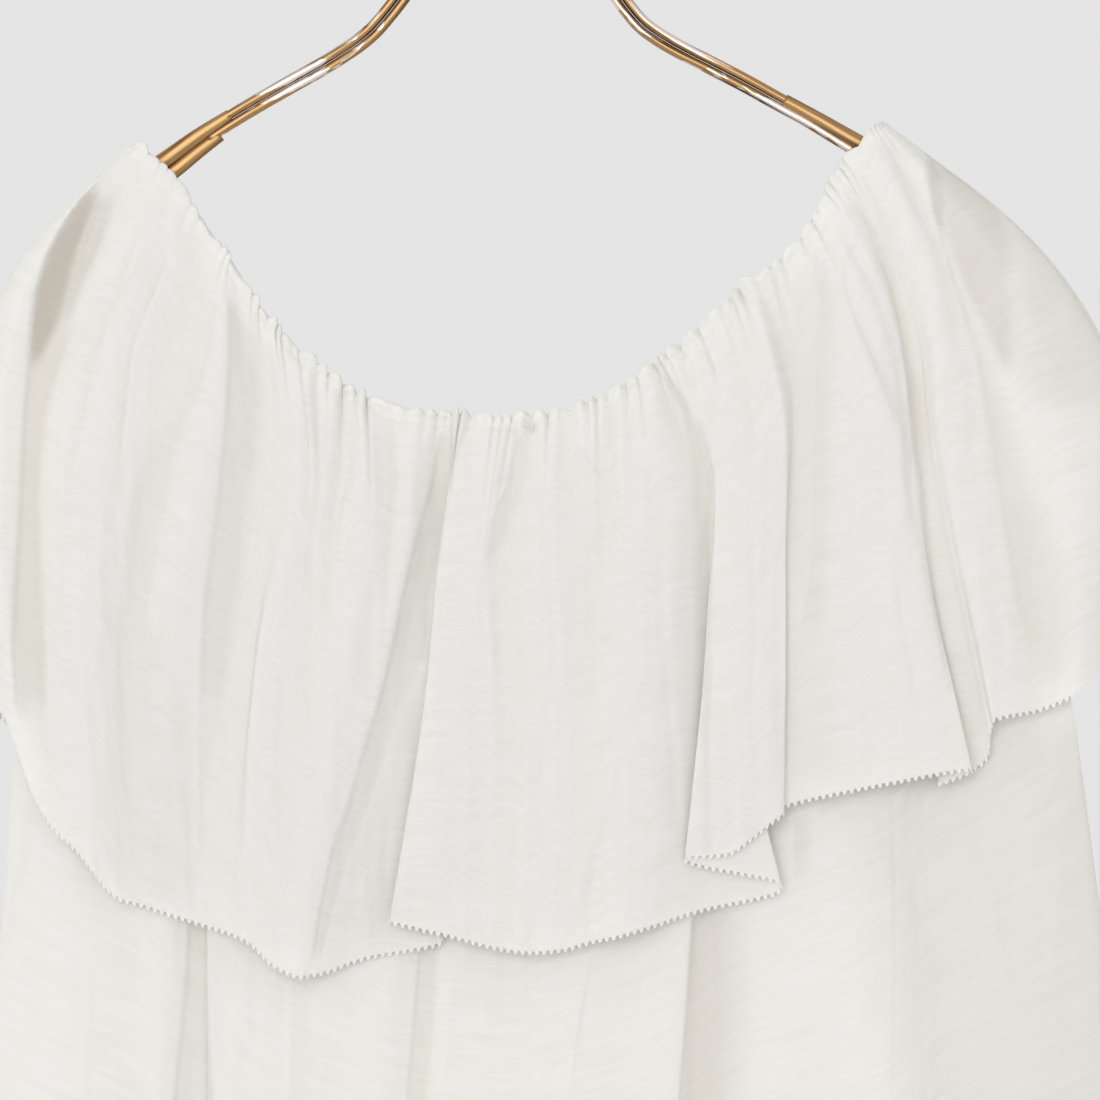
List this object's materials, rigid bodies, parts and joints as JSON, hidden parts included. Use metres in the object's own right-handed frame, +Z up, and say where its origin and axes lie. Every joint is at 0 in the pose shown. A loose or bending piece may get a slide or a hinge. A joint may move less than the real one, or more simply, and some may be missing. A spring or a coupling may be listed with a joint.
{
  "type": "off-shoulder top on a metal hanger",
  "caption": "Sheer ivory off-shoulder top with a gathered elastic neck and a deep flounce, hanging flat on a worn gold metal hanger.",
  "frame": {"origin": "inside of the hook's top, where a rail carries the hanger", "axes": "+Z up, +Y from the top's front towards its back, +X to the right as seen from the front"},
  "size_m": [0.6207, 0.0756, 0.8488],
  "materials": {
    "ivory_linen": "matt, fine slub weave",
    "worn_gold": "worn gold plating"
  },
  "bodies": {
    "root": {"body_back": "ivory_linen", "body_front": "ivory_linen", "flounce_back": "ivory_linen", "flounce_front": "ivory_linen", "neck_band_back": "ivory_linen", "neck_band_front": "ivory_linen", "hanger_collar": "worn_gold", "hanger_hook": "worn_gold", "hanger_rod_lower": "worn_gold", "hanger_rod_upper_left": "worn_gold", "hanger_rod_upper_right": "worn_gold", "hanger_sleeve_left": "worn_gold", "hanger_sleeve_right": "worn_gold"}
  },
  "joints": []
}
